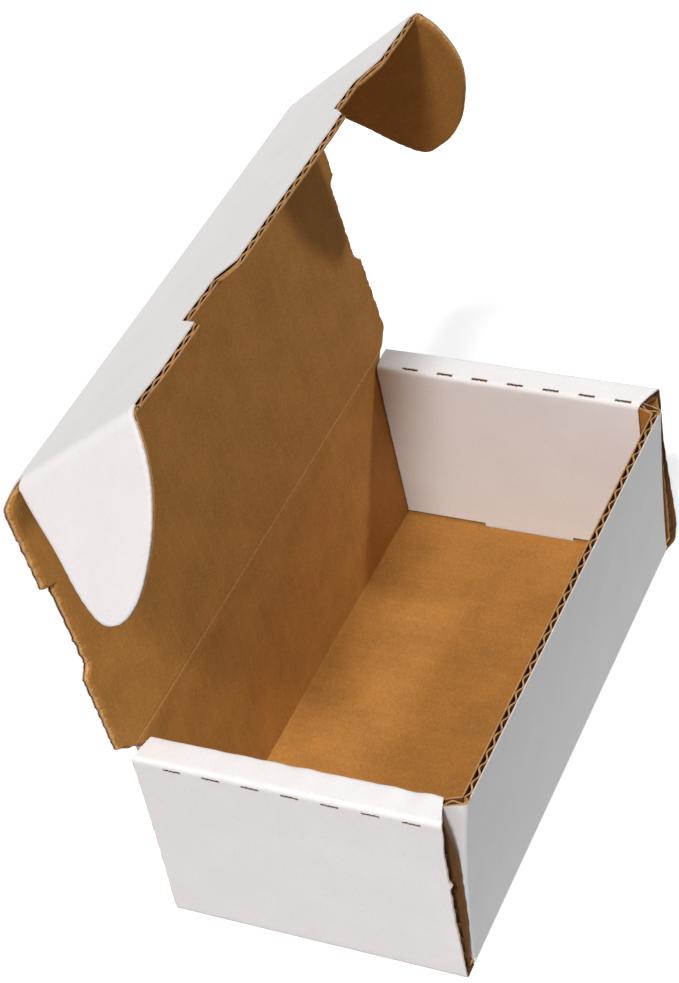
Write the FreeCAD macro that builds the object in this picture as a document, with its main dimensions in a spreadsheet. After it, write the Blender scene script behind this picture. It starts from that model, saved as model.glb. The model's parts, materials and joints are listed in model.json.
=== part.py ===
"""Card storage box: one blank of white-lined corrugated board, folded into a tray with rolled
double end walls, a lid hinged on the back wall, a tuck flap on the lid and an ear at each end of it.

Axes: X runs along the box, Y from the front wall to the back wall, Z up.
The origin is at the bottom, in the middle of the tray.
"""
import FreeCAD, Part
import os
import Sketcher

SIZES = [
    ("board", 2.8),              # thickness of the corrugated board
    ("length_outside", 208.8),   # over the two outer end panels
    ("width_outside", 101),      # over the front and back walls at the floor
    ("roll_height", 70.7),       # top of the rolled end walls
    ("front_drop", 1),           # the front wall stops this far below the rolled ends
    ("front_lean", 3.8),         # how far the front wall springs out at its top while the lid is open
    ("back_lean", 4.3),          # how far the back wall springs out at the lid crease
    ("ear_slot", 3.4),           # slot between outer end panel and dust flap, for an ear
    ("layer_gap", 0.2),          # between layers of the rolled end that lie together
    ("edge_gap", 0.4),           # between a cut edge and the wall beside it
    ("end_setback", 0.3),        # end panels stop this far inside the outer faces of the walls
    ("fold_radius", 2),          # outside of a folded crease
    ("dust_flap_spacing", 13),   # between the front and back dust flaps of one end
    ("dust_flap_clearance", 0.6),  # above the floor and below the rolled strip
    ("tab_width", 34),           # locking tab on each inner end panel
    ("tab_clearance", 0.4),      # round the tab in its floor slot
    ("slit_length", 4.5),        # one cut of a slit-scored crease
    ("slit_width", 0.8),
    ("slit_depth", 1),
    ("slit_count", 7),
    ("slit_margin", 5.5),        # from the ends of a strip to its first and last slit
    ("slit_setback", 2.2),       # from the corner of the rolled strip to a row of slits
    ("hinge_gap", 0.15),         # from a crease line to each board beside it
    ("lid_rise", 2.1),           # underside of the closed lid above the rolled ends
    ("lid_overhang", 3.8),       # lid beyond each outer end panel
    ("lid_root_inset", 1.4),     # lid root inside each outer end panel
    ("lid_root_depth", 2),       # how far the narrow root reaches from the crease
    ("lid_flare_depth", 6.5),    # where the lid reaches its full length
    ("lid_recess", 3.4),         # finger recess in each short side of the lid
    ("lid_recess_start", 34),    # recess, from the lid crease
    ("lid_recess_end", 70),
    ("lid_recess_slope", 3.5),
    ("lid_corner", 2),           # front corners of the lid stop short of the tuck flap crease
    ("lid_play", 2.8),           # closed tuck flap in front of the upright front wall
    ("flap_above_floor", 10.1),  # free edge of the closed tuck flap above the base
    ("notch_width", 29),         # thumb notch in the free edge
    ("notch_depth", 11.5),
    ("notch_slope", 5.5),        # each side of a notch slants over this length
    ("left_notch", 53),          # middle of each notch, from the ear crease beside it
    ("right_notch", 36.5),
    ("ear_clearance", 0.4),      # straight edge of the ear under the rolled strip
    ("ear_taper", 1.7),          # the straight edge drops this far towards the tip
    ("ear_root_start", 1),       # upper end of the ear's crease
    ("ear_root_slope", 2.8),     # the straight edge runs down to the crease over this length
    ("ear_above_floor", 10.1),   # lowest point of the folded-in ear above the base
    ("ear_centre_inset", 8.5),   # centre of the round edge, from the ear crease towards the flap
    ("ear_centre_drop", 4.5),    # centre of the round edge, from the tuck flap crease
    ("ear_tip_radius", 6),
    ("lid_open", 99.3),          # lid, from closed
    ("flap_fold", 60.5),         # tuck flap, from flat with the lid
    ("ear_fold", 65),            # ears, from flat with the tuck flap
]

doc = FreeCAD.newDocument("card_storage_box")
sheet = doc.addObject("Spreadsheet::Sheet", "sizes")
for row, (alias, value) in enumerate(SIZES, start=1):
    sheet.set("A%d" % row, alias)
    sheet.set("B%d" % row, str(value))
    sheet.setAlias("B%d" % row, alias)
doc.recompute()

# Places worked out from the driving sizes, as expressions over the sheet.
HALF_LENGTH = "sizes.length_outside / 2"
HALF_WIDTH = "sizes.width_outside / 2"
END_HALF_WIDTH = "(sizes.width_outside / 2 - sizes.end_setback)"
WALL_END = "(sizes.length_outside / 2 - sizes.board - sizes.ear_slot)"
INNER_BACK = "(sizes.length_outside / 2 - 2 * sizes.board - sizes.ear_slot - sizes.layer_gap)"
INNER_FACE = "(sizes.length_outside / 2 - 3 * sizes.board - sizes.ear_slot - sizes.layer_gap)"
INNER_HALF_WIDTH = "(sizes.width_outside / 2 - sizes.board - sizes.edge_gap)"
EAR_CREASE = "(sizes.length_outside / 2 - sizes.board - (sizes.ear_slot + sizes.board) / 2)"
FRONT_HEIGHT = "(sizes.roll_height - sizes.front_drop)"
HINGE_HEIGHT = "(sizes.roll_height + sizes.lid_rise)"
HINGE_PLACE = "(sizes.width_outside / 2 - sizes.board + sizes.back_lean)"
LID_DEPTH = "(sizes.width_outside - sizes.board + sizes.lid_play)"
FLAP_DEPTH = "(sizes.roll_height + sizes.lid_rise - sizes.flap_above_floor)"
DUST_FREE_EDGE = "(sizes.dust_flap_spacing / 2)"
SLIT_SPAN = "(sizes.width_outside - 2 * (sizes.board + sizes.edge_gap + sizes.slit_margin) - sizes.slit_length)"
ENDS = (("left", "-1"), ("right", "1"))


def new_body(name):
    body = doc.addObject("PartDesign::Body", name)
    body.Label = name
    return body


def new_sketch(body, name, role, offset=None):
    """A sketch on one of the body's own origin planes, moved along the plane's normal."""
    sketch = body.newObject("Sketcher::SketchObject", name)
    plane = [item for item in body.Origin.OriginFeatures if item.Role == role][0]
    sketch.AttachmentSupport = [(plane, "")]
    sketch.MapMode = "FlatFace"
    if offset:
        sketch.setExpression("AttachmentOffset.Base.z", offset)
    return sketch


def place_point(sketch, geometry, point, where, start):
    """Tie one point of the sketch to two expressions, starting from a rough place."""
    for kind, expression, rough in zip(("DistanceX", "DistanceY"), where, start):
        index = sketch.addConstraint(Sketcher.Constraint(kind, -1, 1, geometry, point, rough))
        sketch.setExpression("Constraints[%d]" % index, expression)


def rough_value(expression):
    """The present value of an expression over the sheet."""
    return float(sheet.evalExpression(expression))


def add_outline(sketch, corners):
    """A closed line through corners, each a pair of expressions for its two coordinates."""
    first = sketch.GeometryCount
    rough = [FreeCAD.Vector(rough_value(across), rough_value(up), 0) for across, up in corners]
    for index, point in enumerate(rough):
        sketch.addGeometry(Part.LineSegment(point, rough[(index + 1) % len(rough)]), False)
    for index in range(len(corners)):
        following = first + (index + 1) % len(corners)
        sketch.addConstraint(Sketcher.Constraint("Coincident", first + index, 2, following, 1))
    for index, where in enumerate(corners):
        place_point(sketch, first + index, 1, where, rough[index])


def rectangle(low_x, high_x, low_y, high_y):
    return [(low_x, low_y), (high_x, low_y), (high_x, high_y), (low_x, high_y)]


def add_pad(body, sketch, name, length, side="One side"):
    pad = body.newObject("PartDesign::Pad", name)
    pad.Profile = sketch
    pad.SideType = side
    pad.setExpression("Length", length)
    doc.recompute()
    return pad


def add_pocket(body, sketch, name, depth, side="One side", reversed_cut=False):
    """A cut into the body; it has to take something away."""
    before = body.Shape.Volume
    pocket = body.newObject("PartDesign::Pocket", name)
    pocket.Profile = sketch
    pocket.SideType = side
    pocket.Reversed = reversed_cut
    pocket.setExpression("Length", depth)
    doc.recompute()
    if not body.Shape.Volume < before:
        raise ValueError("%s cuts nothing" % name)
    return pocket


def add_fillet(body, name, radius, is_crease):
    """Round the straight edges of the body's present shape for which is_crease(middle, run) holds."""
    base = body.Tip
    chosen = []
    for index, edge in enumerate(base.Shape.Edges, start=1):
        if len(edge.Vertexes) != 2 or edge.Curve.TypeId != "Part::GeomLine":
            continue
        start, end = edge.Vertexes[0].Point, edge.Vertexes[1].Point
        if is_crease((start + end) / 2, end - start):
            chosen.append("Edge%d" % index)
    fillet = body.newObject("PartDesign::Fillet", name)
    fillet.Base = (base, chosen)
    fillet.setExpression("Radius", radius)
    doc.recompute()
    return fillet


def near(value, target):
    return abs(value - target) < 0.01


def make_tray():
    """Floor, walls, rolled end walls, locking tabs and dust flaps: all one folded sheet."""
    body = new_body("tray")
    floor_and_walls(body)
    rolled_ends(body)
    locking_tabs(body)
    dust_flaps(body)
    slit_scores(body)
    return body


def floor_and_walls(body):
    """Front wall, floor and back wall as one folded section, run along the box."""
    section = new_sketch(body, "wall_section", "YZ_Plane")
    back_top = HINGE_HEIGHT + " - sizes.hinge_gap"
    add_outline(section, [
        ("-" + HALF_WIDTH, "0"),
        (HALF_WIDTH, "0"),
        (HALF_WIDTH + " + sizes.back_lean", back_top + " - sizes.board"),
        (HINGE_PLACE, back_top),
        (HALF_WIDTH + " - sizes.board", "sizes.board"),
        ("-" + HALF_WIDTH + " + sizes.board", "sizes.board"),
        ("-" + HALF_WIDTH + " + sizes.board - sizes.front_lean", FRONT_HEIGHT),
        ("-" + HALF_WIDTH + " - sizes.front_lean", FRONT_HEIGHT),
    ])
    add_pad(body, section, "walls", "2 * " + WALL_END, side="Symmetric")
    half_width = rough_value(HALF_WIDTH)
    add_fillet(body, "wall_folds", "sizes.fold_radius",
               lambda middle, run: near(middle.z, 0) and near(abs(middle.y), half_width))


def rolled_ends(body):
    """Outer end panel, strip over the top and inner end panel, at both ends."""
    wrap = new_sketch(body, "end_section", "XZ_Plane")
    inside = HALF_LENGTH + " - sizes.board"
    add_outline(wrap, [
        ("-" + HALF_LENGTH, "0"),
        (HALF_LENGTH, "0"),
        (HALF_LENGTH, "sizes.roll_height"),
        (inside, "sizes.roll_height"),
        (inside, "sizes.board"),
        ("-(" + inside + ")", "sizes.board"),
        ("-(" + inside + ")", "sizes.roll_height"),
        ("-" + HALF_LENGTH, "sizes.roll_height"),
    ])
    add_pad(body, wrap, "outer_end_panels", "2 * " + END_HALF_WIDTH, side="Symmetric")

    strips = new_sketch(body, "strip_outline", "XY_Plane", "sizes.roll_height - sizes.board")
    panels = new_sketch(body, "inner_panel_outline", "XY_Plane", "sizes.board + sizes.layer_gap")
    for _, sign in ENDS:
        outer = sign + " * " + HALF_LENGTH
        face = sign + " * " + INNER_FACE
        add_outline(strips, [
            (outer, "-" + END_HALF_WIDTH),
            (outer, END_HALF_WIDTH),
            (face, INNER_HALF_WIDTH),
            (face, "-" + INNER_HALF_WIDTH),
        ])
        add_outline(panels, rectangle(sign + " * " + INNER_BACK, face,
                                      "-" + INNER_HALF_WIDTH, INNER_HALF_WIDTH))
    add_pad(body, strips, "strips", "sizes.board")
    add_pad(body, panels, "inner_end_panels",
            "sizes.roll_height - sizes.board / 2 - sizes.board - sizes.layer_gap")

    half_length = rough_value(HALF_LENGTH)
    inner_face = rough_value(INNER_FACE)
    top = rough_value("sizes.roll_height")

    def is_end_crease(middle, run):
        along_width = abs(run.y) > abs(run.x) + abs(run.z)
        outside = near(abs(middle.x), half_length) and (near(middle.z, 0) or near(middle.z, top))
        inside_top = near(abs(middle.x), inner_face) and near(middle.z, top)
        return along_width and (outside or inside_top)

    add_fillet(body, "end_folds", "sizes.fold_radius", is_end_crease)


def locking_tabs(body):
    """A tab under each inner end panel, in a slot through the floor."""
    slots = new_sketch(body, "tab_slot_outline", "XY_Plane")
    tabs = new_sketch(body, "tab_outline", "XY_Plane", "sizes.tab_clearance")
    half_tab = "sizes.tab_width / 2"
    half_slot = "(sizes.tab_width / 2 + sizes.tab_clearance)"
    for _, sign in ENDS:
        low = sign + " * (" + INNER_FACE + " - sizes.tab_clearance)"
        high = sign + " * (" + INNER_BACK + " + sizes.tab_clearance)"
        add_outline(slots, rectangle(low, high, "-" + half_slot, half_slot))
        add_outline(tabs, rectangle(sign + " * " + INNER_FACE, sign + " * " + INNER_BACK,
                                    "-" + half_tab, half_tab))
    add_pocket(body, slots, "tab_slots", "sizes.board", reversed_cut=True)
    add_pad(body, tabs, "tabs", "2 * sizes.board - sizes.tab_clearance")


def dust_flaps(body):
    """Four flaps folded in from the ends of the front and back walls, between the end layers."""
    low = "(sizes.board + sizes.dust_flap_clearance)"
    high = "(sizes.roll_height - sizes.board - sizes.dust_flap_clearance)"
    mid_wall = "(sizes.width_outside - sizes.board) / 2"
    for end, offset in (("left", "-" + WALL_END), ("right", WALL_END + " - sizes.board")):
        outline = new_sketch(body, end + "_dust_outline", "YZ_Plane", offset)
        front_low = "-(" + mid_wall + " + sizes.front_lean * " + low + " / " + FRONT_HEIGHT + ")"
        front_high = "-(" + mid_wall + " + sizes.front_lean * " + high + " / " + FRONT_HEIGHT + ")"
        back_low = mid_wall + " + sizes.back_lean * " + low + " / " + HINGE_HEIGHT
        back_high = mid_wall + " + sizes.back_lean * " + high + " / " + HINGE_HEIGHT
        add_outline(outline, [(front_low, low), ("-" + DUST_FREE_EDGE, low),
                              ("-" + DUST_FREE_EDGE, high), (front_high, high)])
        add_outline(outline, [(back_low, low), (back_high, high),
                              (DUST_FREE_EDGE, high), (DUST_FREE_EDGE, low)])
        add_pad(body, outline, end + "_dust_flaps", "sizes.board")


def slit_scores(body):
    """Rows of short cuts through the outer liner, along both creases of each rolled strip."""
    first = "-" + SLIT_SPAN + " / 2"
    low_y = first + " - sizes.slit_length / 2"
    high_y = first + " + sizes.slit_length / 2"
    top = new_sketch(body, "top_slit_outline", "XY_Plane", "sizes.roll_height")
    for _, sign in ENDS:
        near_edge = sign + " * (" + INNER_FACE + " + sizes.slit_setback)"
        far_edge = sign + " * (" + INNER_FACE + " + sizes.slit_setback + sizes.slit_width)"
        add_outline(top, rectangle(near_edge, far_edge, low_y, high_y))
    repeat_slits(body, add_pocket(body, top, "top_slit", "sizes.slit_depth"))
    low_z = "sizes.roll_height - sizes.slit_setback - sizes.slit_width"
    high_z = "sizes.roll_height - sizes.slit_setback"
    for end, sign in ENDS:
        side = new_sketch(body, end + "_slit_outline", "YZ_Plane", sign + " * " + HALF_LENGTH)
        add_outline(side, rectangle(low_y, high_y, low_z, high_z))
        cut = add_pocket(body, side, end + "_slit", "sizes.slit_depth", reversed_cut=sign == "-1")
        repeat_slits(body, cut)


def repeat_slits(body, cut):
    """The same cut, repeated along the crease."""
    row = body.newObject("PartDesign::LinearPattern", cut.Name + "_row")
    row.Originals = [cut]
    axis = [item for item in body.Origin.OriginFeatures if item.Role == "Y_Axis"][0]
    row.Direction = (axis, [""])
    row.setExpression("Length", SLIT_SPAN)
    row.setExpression("Occurrences", "sizes.slit_count")
    body.Tip = row
    doc.recompute()


def make_lid():
    """Flat lid with a finger recess in each short side; its root is bevelled so it can fold back."""
    body = new_body("lid")
    outline = new_sketch(body, "lid_outline", "XY_Plane")
    side = HALF_LENGTH + " + sizes.lid_overhang"
    root_side = HALF_LENGTH + " - sizes.lid_root_inset"
    recess = side + " - sizes.lid_recess"
    right = [
        (root_side, "-sizes.hinge_gap"),
        (root_side, "-sizes.lid_root_depth"),
        (side, "-sizes.lid_flare_depth"),
        (side, "-sizes.lid_recess_start"),
        (recess, "-(sizes.lid_recess_start + sizes.lid_recess_slope)"),
        (recess, "-(sizes.lid_recess_end - sizes.lid_recess_slope / 2)"),
        (side, "-sizes.lid_recess_end"),
        (side, "-(" + LID_DEPTH + " - sizes.lid_corner)"),
        (EAR_CREASE + " + sizes.board", "-(" + LID_DEPTH + " - sizes.hinge_gap)"),
    ]
    left = [("-(" + across + ")", along) for across, along in reversed(right)]
    add_outline(outline, right + left)
    add_pad(body, outline, "lid_sheet", "sizes.board")

    bevel = new_sketch(body, "root_bevel_outline", "YZ_Plane")
    add_outline(bevel, [
        ("-sizes.hinge_gap", "0"),
        ("sizes.board", "0"),
        ("sizes.board", "2 * sizes.board"),
        ("-sizes.hinge_gap - 2 * sizes.board", "2 * sizes.board"),
    ])
    add_pocket(body, bevel, "root_bevel", "2 * (" + side + ")", side="Symmetric")
    body.setExpression("Placement", (
        "placement(vector(0 mm; %s; %s);"
        " rotation(vector(1; 0; 0); -sizes.lid_open))") % (HINGE_PLACE, HINGE_HEIGHT))
    return body


def make_tuck_flap():
    """Flap at the lid's front edge, with two thumb notches in its free edge."""
    body = new_body("tuck_flap")
    outline = new_sketch(body, "flap_outline", "XY_Plane")
    end = EAR_CREASE + " - sizes.hinge_gap"
    free_edge = "-" + FLAP_DEPTH
    floor = "-(" + FLAP_DEPTH + " - sizes.notch_depth)"
    corners = [("-(" + end + ")", free_edge)]
    for middle in ("-(" + EAR_CREASE + " - sizes.left_notch)", EAR_CREASE + " - sizes.right_notch"):
        corners += [
            (middle + " - sizes.notch_width / 2", free_edge),
            (middle + " - sizes.notch_width / 2 + sizes.notch_slope", floor),
            (middle + " + sizes.notch_width / 2 - sizes.notch_slope", floor),
            (middle + " + sizes.notch_width / 2", free_edge),
        ]
    corners += [(end, free_edge), (end, "-sizes.hinge_gap"), ("-(" + end + ")", "-sizes.hinge_gap")]
    add_outline(outline, corners)
    add_pad(body, outline, "flap_sheet", "sizes.board")
    body.setExpression("Placement", (
        "lid.Placement * placement(vector(0 mm; -%s; 0 mm);"
        " rotation(vector(1; 0; 0); sizes.flap_fold))") % LID_DEPTH)
    return body


def make_ear(name, sign):
    """Rounded ear on one end of the tuck flap: a straight edge, a blunt tip and a long round edge."""
    body = new_body(name)
    outline = new_sketch(body, name + "_outline", "XY_Plane")
    reach = "(" + HINGE_HEIGHT + " - sizes.ear_above_floor - sizes.ear_centre_drop)"
    edge_start = "(sizes.lid_rise + sizes.board + sizes.ear_clearance)"
    edge_end = "(" + edge_start + " + sizes.ear_taper)"
    tip_reach = "sqrt(pow(%s; 2) - pow(%s - sizes.ear_centre_drop; 2))" % (reach, edge_end)
    root_reach = "sqrt(pow(%s; 2) - pow(sizes.ear_centre_inset; 2))" % reach
    root = sign + " * sizes.hinge_gap"
    corners = [
        (root, "-sizes.ear_centre_drop - " + root_reach),
        (root, "-sizes.ear_root_start"),
        (sign + " * sizes.ear_root_slope", "-" + edge_start),
        (sign + " * (%s - sizes.ear_centre_inset)" % tip_reach, "-" + edge_end),
    ]
    rough = [FreeCAD.Vector(rough_value(across), rough_value(up), 0) for across, up in corners]
    for start, end in zip(rough, rough[1:]):
        outline.addGeometry(Part.LineSegment(start, end), False)
    centre = FreeCAD.Vector(-float(sign) * rough_value("sizes.ear_centre_inset"),
                            -rough_value("sizes.ear_centre_drop"), 0)
    circle = Part.Circle(centre, FreeCAD.Vector(0, 0, 1), rough_value(reach))
    root_angle, tip_angle = circle.parameter(rough[0]), circle.parameter(rough[3])
    if sign == "-1":
        outline.addGeometry(Part.ArcOfCircle(circle, tip_angle, root_angle), False)
        arc_tip, arc_root = 1, 2
    else:
        outline.addGeometry(Part.ArcOfCircle(circle, root_angle, tip_angle), False)
        arc_tip, arc_root = 2, 1
    for index in (0, 1):
        outline.addConstraint(Sketcher.Constraint("Coincident", index, 2, index + 1, 1))
    outline.addConstraint(Sketcher.Constraint("Coincident", 2, 2, 3, arc_tip))
    outline.addConstraint(Sketcher.Constraint("Coincident", 0, 1, 3, arc_root))
    for index in (0, 1, 2):
        place_point(outline, index, 1, corners[index], rough[index])
    place_point(outline, 2, 2, corners[3], rough[3])
    size = outline.addConstraint(Sketcher.Constraint("Radius", 3, circle.Radius))
    outline.setExpression("Constraints[%d]" % size, reach)
    add_pad(body, outline, name + "_sheet", "sizes.board")

    tip_x = rough[3].x
    tip_y = rough[3].y
    add_fillet(body, name + "_tip", "sizes.ear_tip_radius",
               lambda middle, run: near(middle.x, tip_x) and near(middle.y, tip_y))
    body.setExpression("Placement", (
        "tuck_flap.Placement * placement(vector(%s * %s; 0 mm; 0 mm);"
        " rotation(vector(0; 1; 0); %s * sizes.ear_fold))") % (sign, EAR_CREASE, sign))
    return body


def check_document():
    """Stop if any feature failed or any sub-part is not one valid solid."""
    for item in doc.Objects:
        if "Invalid" in item.State or "Error" in item.State:
            raise ValueError("%s failed: %s" % (item.Name, item.State))
    for body in bodies:
        shape = body.Shape
        if shape.isNull() or not shape.isValid() or len(shape.Solids) != 1:
            raise ValueError("%s is not one valid solid" % body.Label)


bodies = [make_tray(), make_lid(), make_tuck_flap()]
bodies += [make_ear(end + "_ear", sign) for end, sign in ENDS]
doc.recompute()
check_document()
os.makedirs("parts", exist_ok=True)
for body in bodies:
    body.Shape.exportStep("parts/%s.step" % body.Label)
    box = body.Shape.BoundBox
    print("%-10s %9.0f mm3  X %.1f %.1f  Y %.1f %.1f  Z %.1f %.1f" % (
        body.Label, body.Shape.Volume, box.XMin, box.XMax, box.YMin, box.YMax, box.ZMin, box.ZMax))
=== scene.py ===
"""A card storage box folded from one sheet of white-faced corrugated board, standing open."""
import json
import math
import bpy
import numpy as np
from mathutils import Matrix, Vector


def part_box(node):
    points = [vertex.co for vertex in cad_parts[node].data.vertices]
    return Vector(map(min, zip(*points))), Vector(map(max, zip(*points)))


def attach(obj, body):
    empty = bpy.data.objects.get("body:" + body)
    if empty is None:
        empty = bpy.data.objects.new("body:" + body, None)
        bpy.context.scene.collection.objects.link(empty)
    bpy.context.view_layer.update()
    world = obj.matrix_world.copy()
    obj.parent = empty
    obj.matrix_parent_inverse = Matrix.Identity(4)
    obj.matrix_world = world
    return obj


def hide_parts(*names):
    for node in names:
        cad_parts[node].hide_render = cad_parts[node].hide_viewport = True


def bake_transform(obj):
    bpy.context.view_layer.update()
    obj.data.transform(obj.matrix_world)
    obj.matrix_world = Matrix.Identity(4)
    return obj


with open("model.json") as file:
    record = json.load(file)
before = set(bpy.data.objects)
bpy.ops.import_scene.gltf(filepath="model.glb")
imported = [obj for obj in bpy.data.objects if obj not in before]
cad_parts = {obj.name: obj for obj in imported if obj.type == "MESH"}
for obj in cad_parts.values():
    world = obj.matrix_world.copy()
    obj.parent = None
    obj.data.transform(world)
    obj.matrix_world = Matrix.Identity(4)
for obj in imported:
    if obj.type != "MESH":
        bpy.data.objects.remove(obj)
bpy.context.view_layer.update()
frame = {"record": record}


# ------------------------------ the table, the light and the camera
# The box stands on a pale table that runs out of sight, under a window light from above its left end, a wide
# soft one from the back left and a sharp one from the front right. A long lens looks down on its left end.
scene = bpy.context.scene
scene.view_settings.view_transform = "Standard"

aim, distance = Vector((0.06882, 0.06171, 0.0300)), 0.95785
turn, rise, lean = math.radians(-60.297), math.radians(40.024), -0.18342
back = Vector((math.sin(turn) * math.cos(rise), -math.cos(turn) * math.cos(rise), math.sin(rise)))
level = (-back).cross(Vector((0, 0, 1))).normalized()
upward = level.cross(-back)
side = math.cos(lean) * level + math.sin(lean) * upward
top = -math.sin(lean) * level + math.cos(lean) * upward
camera_data = bpy.data.cameras.new("long_lens")
camera_data.sensor_width = 36
camera_data.lens = 97.251272
camera_data.clip_start, camera_data.clip_end = 0.05, 20
camera = bpy.data.objects.new("long_lens", camera_data)
scene.collection.objects.link(camera)
turned = Matrix((side, top, back)).transposed().to_4x4()
camera.matrix_world = Matrix.Translation(aim + distance * back) @ turned
scene.camera = camera

for name, towards, colour, strength, blur in (
    ("window_light", (0.58, 0.09, -0.81), (1.0, 0.99, 0.99), 2.52, 9),
    ("front_light", (-0.43, 0.61, -0.665), (1.0, 1.0, 1.0), 1.08, 5),
    ("side_light", (0.82, -0.42, -0.38), (1.0, 0.81, 0.77), 0.68, 40),
):
    lamp = bpy.data.lights.new(name, "SUN")
    lamp.color, lamp.energy, lamp.angle = colour, strength, math.radians(blur)
    holder = bpy.data.objects.new(name, lamp)
    holder.rotation_mode = "QUATERNION"
    holder.rotation_quaternion = Vector(towards).to_track_quat("-Z", "Y")
    scene.collection.objects.link(holder)


def maths(tree, operation, *values):
    """A Math node whose inputs are sockets or plain numbers; gives its output."""
    node = tree.nodes.new("ShaderNodeMath")
    node.operation = operation
    for index, value in enumerate(values):
        if isinstance(value, (int, float)):
            node.inputs[index].default_value = value
        else:
            tree.links.new(value, node.inputs[index])
    return node.outputs[0]


def noise(tree, where, scale, detail=2.0, roughness=0.5):
    """A Noise Texture on coordinates, with one scale for all axes or one for each; gives its value."""
    node = tree.nodes.new("ShaderNodeTexNoise")
    if isinstance(scale, tuple):
        stretch = tree.nodes.new("ShaderNodeVectorMath")
        stretch.operation = "MULTIPLY"
        stretch.inputs[1].default_value = scale
        tree.links.new(where, stretch.inputs[0])
        where, scale = stretch.outputs[0], 1.0
    for label, value in (("Scale", scale), ("Detail", detail), ("Roughness", roughness)):
        node.inputs[label].default_value = value
    tree.links.new(where, node.inputs["Vector"])
    return node.outputs["Fac"]


def seen_directly(tree):
    """1 for rays seen by the lens, also by reflection or through glass, and 0 for rays that light things."""
    ray = tree.nodes.new("ShaderNodeLightPath").outputs
    seen = maths(tree, "MAXIMUM", ray["Is Camera Ray"], ray["Is Glossy Ray"])
    return maths(tree, "MAXIMUM", seen, ray["Is Transmission Ray"])


world = bpy.data.worlds.new("pale_room")
world.use_nodes = True
scene.world = world
air = world.node_tree
air.nodes.clear()
either, sky = air.nodes.new("ShaderNodeMixShader"), air.nodes.new("ShaderNodeOutputWorld")
air.links.new(seen_directly(air), either.inputs[0])
for index, colour, strength in ((1, (0.97, 0.98, 1.0, 1), 0.22), (2, (1, 1, 1, 1), 1.0)):
    around = air.nodes.new("ShaderNodeBackground")
    around.inputs["Color"].default_value = colour
    around.inputs["Strength"].default_value = strength
    air.links.new(around.outputs[0], either.inputs[index])
air.links.new(either.outputs[0], sky.inputs["Surface"])


def wide_table(size, height, count):
    """A flat square grid of count by count points at one height."""
    even = np.linspace(-size, size, count)
    along, across = np.meshgrid(even, even, indexing="ij")
    points = np.stack([along, across, np.full_like(along, height)], -1).reshape(-1, 3)
    number = np.arange(count * count).reshape(count, count)
    squares = np.stack([number[:-1, :-1], number[1:, :-1], number[1:, 1:], number[:-1, 1:]], -1)
    mesh = bpy.data.meshes.new("table_top")
    mesh.from_pydata(points.tolist(), [], squares.reshape(-1, 4).tolist())
    return mesh


table = bpy.data.objects.new("table_top", wide_table(4.0, -0.00005, 9))
scene.collection.objects.link(table)
table_finish = bpy.data.materials.new("pale_table")
table_finish.use_nodes = True
tree = table_finish.node_tree
shader = tree.nodes["Principled BSDF"]
tint = tree.nodes.new("ShaderNodeValToRGB")
tint.color_ramp.elements[0].color = (0.13, 0.13, 0.13, 1)
tint.color_ramp.elements[1].color = (0.16, 0.16, 0.16, 1)
place = tree.nodes.new("ShaderNodeTexCoord")
tree.links.new(noise(tree, place.outputs["Object"], 9, 4), tint.inputs["Fac"])
directly = seen_directly(tree)
pale = tree.nodes.new("ShaderNodeMix")
pale.data_type = "RGBA"
pale.inputs[7].default_value = (0.85, 0.87, 0.87, 1)
tree.links.new(directly, pale.inputs[0])
tree.links.new(tint.outputs["Color"], pale.inputs[6])
tree.links.new(pale.outputs[2], shader.inputs["Base Color"])
shader.inputs["Emission Color"].default_value = (1, 1, 1, 1)
tree.links.new(maths(tree, "MULTIPLY", directly, 0.45), shader.inputs["Emission Strength"])
shader.inputs["Roughness"].default_value = 0.9
shader.inputs["Specular IOR Level"].default_value = 0.1
table.data.materials.append(table_finish)


# ------------------------------ front wall, floor and back wall
# One run of the die-cut sheet, creased where the walls rise from the floor. The board is three papers glued
# together: a white-faced liner outside, a brown kraft liner inside and a fluted medium between them. The
# flutes run up the walls and across the floor, so the front wall's raw top edge shows their open ends.
joints = {joint["name"]: joint for joint in frame["record"]["behaviour"]["joints"]}
board = 0.0028
liner = 0.00042
flute_pitch = 0.0064
tray_low, tray_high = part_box("tray")
half_length = tray_high.x
half_width = 0.0505
roll_top = 0.0707
front_top = Vector((0, tray_low.y + 0.00002, 0.0697))
hinge = Vector(joints["lid_hinge"]["pos_m"])
wall_end = 0.0982
lean_in = 0.0045
corner_reach = 0.003
corner_low, corner_high = 0.0023, 0.0024
crease_reach = 0.003
tab_half = 0.0174
slot_near, slot_far = 0.092, 0.0956


def ripple(size, seed, *places):
    """Smooth random values from about -1 to 1 over one or more coordinates: seven sine waves added up, each
    with a direction, a length near size and a phase drawn from the seed."""
    points = np.stack(places, -1)
    draw = np.random.default_rng(seed)
    ways = draw.normal(size=(7, points.shape[-1]))
    ways *= (2 * math.pi / size * draw.uniform(0.6, 1.7, 7) / np.linalg.norm(ways, axis=1))[:, None]
    return np.sin(points @ ways.T + draw.uniform(0, 2 * math.pi, 7)).sum(-1) / 3.2


def stops(low, high, step, *also):
    """Even steps from low to high, with the places in also added."""
    even = np.linspace(low, high, max(2, int(round((high - low) / step)) + 1))
    extra = [value for value in also if low < value < high]
    return np.unique(np.round(np.concatenate([even, extra]), 6))


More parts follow.
